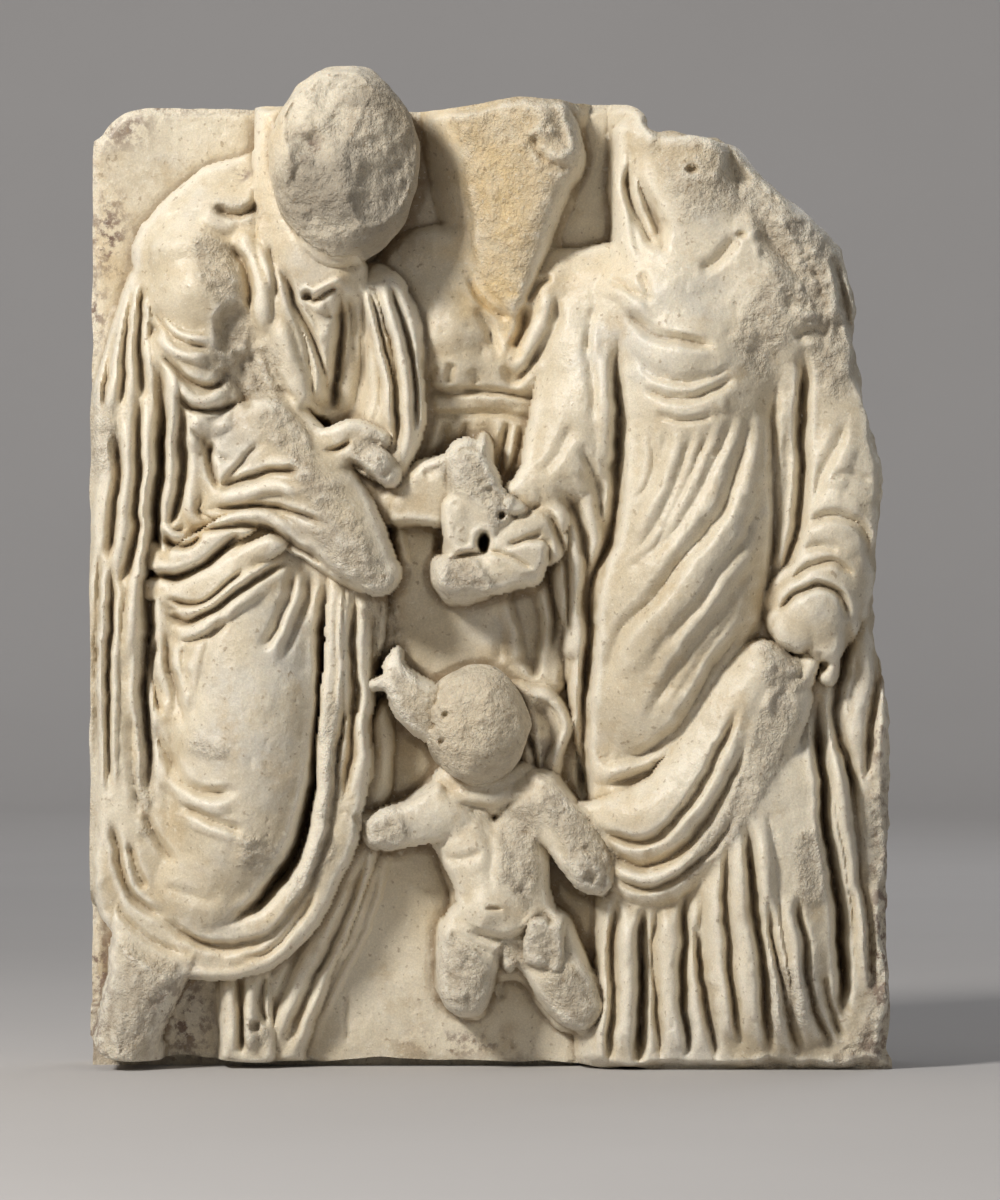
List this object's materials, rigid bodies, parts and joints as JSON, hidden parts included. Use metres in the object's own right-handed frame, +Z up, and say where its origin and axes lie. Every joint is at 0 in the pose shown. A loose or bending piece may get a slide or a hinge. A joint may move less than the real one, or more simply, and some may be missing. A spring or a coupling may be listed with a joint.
{
  "type": "marble relief slab",
  "caption": "Upright marble slab carved in high relief with draped standing figures clasping hands over a small child, heads and edges broken.",
  "frame": {"origin": "centre of the bounding box, on the underside that the slab stands on", "axes": "+Z up along the height, +Y towards the flat back, +X to the right of someone facing the carving"},
  "size_m": [0.486, 0.144, 0.605],
  "materials": {
    "marble": "weathered, honed on the worn drapery and rough on the breaks"
  },
  "bodies": {
    "root": {"marble_relief": "marble"}
  },
  "joints": []
}
